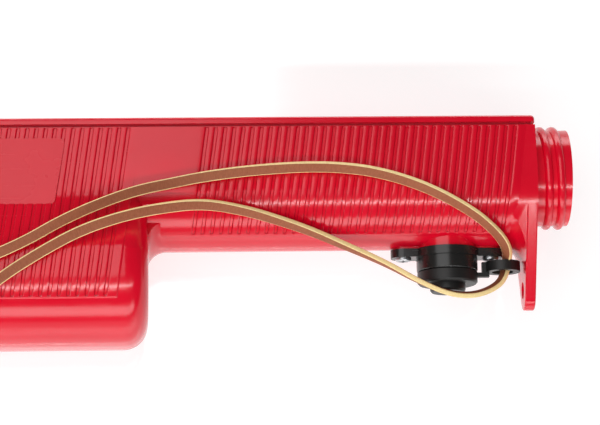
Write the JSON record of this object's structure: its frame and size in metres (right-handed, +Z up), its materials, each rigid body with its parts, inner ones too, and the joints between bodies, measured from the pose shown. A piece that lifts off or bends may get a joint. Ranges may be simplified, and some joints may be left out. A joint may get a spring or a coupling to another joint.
{
  "type": "chalk line reel",
  "caption": "Long-barrelled chalk line reel with a side crank, a deep spool chamber, a threaded filler neck and a strap loop on its line end.",
  "frame": {"origin": "on the flat resting side of the reel chamber, under the reel's axle", "axes": "+X along the barrel towards the filler neck, +Y towards the flat cover, +Z up, away from the resting side"},
  "size_m": [0.2912, 0.0824, 0.094],
  "materials": {
    "red_plastic": "glossy moulded",
    "label_red": "satin moulded",
    "black_plastic": "satin moulded",
    "black_rubber": "soft, dull",
    "red_rubber": "soft, dull",
    "leather": "smooth face, pale cut edges",
    "steel": "zinc plated",
    "brass": "turned",
    "felt": "dense felt",
    "chalk_line": "twisted cotton line",
    "natural_nylon": "plain moulded"
  },
  "bodies": {
    "housing": {"main_shell": "red_plastic", "top_cover": "red_plastic", "cover_gasket": "red_rubber", "cover_screws": "steel", "label_plate": "label_red", "chamber_bulkhead": "natural_nylon", "felt_wiper": "felt", "wiper_retainer": "natural_nylon", "roller_pin": "steel", "outlet_flange": "black_plastic", "flange_screws": "steel", "gland_felt": "felt", "front_bearing": "brass", "shaft_seal": "black_rubber", "back_bearing": "brass"},
    "reel": {"spool_core": "natural_nylon", "spool_flange_front": "natural_nylon", "spool_flange_back": "natural_nylon", "wound_line": "chalk_line", "crank_shaft": "steel", "ratchet_wheel": "steel", "crank_arm": "black_plastic", "crank_screw": "steel", "knob_stud": "steel"},
    "knob": {"crank_knob": "black_plastic"},
    "roller": {"guide_roller": "natural_nylon"},
    "lock": {"lock_pawl": "steel", "lock_pin": "steel", "lock_lever": "black_plastic"},
    "line_end": {"line_end_plug": "black_rubber", "line_ferrule": "brass", "leather_loop": "leather"}
  },
  "joints": [
    {"name": "reel_spin", "type": "hinge", "parent": "housing", "child": "reel", "pos_m": [0, 0, 0.03], "axis": [0, 0, 1], "continuous": true},
    {"name": "knob_spin", "type": "hinge", "parent": "reel", "child": "knob", "pos_m": [-0.045, 0, 0.083], "axis": [0, 0, 1], "continuous": true},
    {"name": "roller_spin", "type": "hinge", "parent": "housing", "child": "roller", "pos_m": [0.1885, 0.0105, 0.03], "axis": [0, 0, 1], "continuous": true},
    {"name": "lock_swing", "type": "hinge", "parent": "housing", "child": "lock", "pos_m": [-0.02, -0.015, 0.03], "axis": [0, 0, 1], "range_deg": [0, 16]},
    {"name": "plug_pull", "type": "slide", "parent": "housing", "child": "line_end", "axis": [0, -1, 0], "range_m": [0, 0.006]}
  ]
}
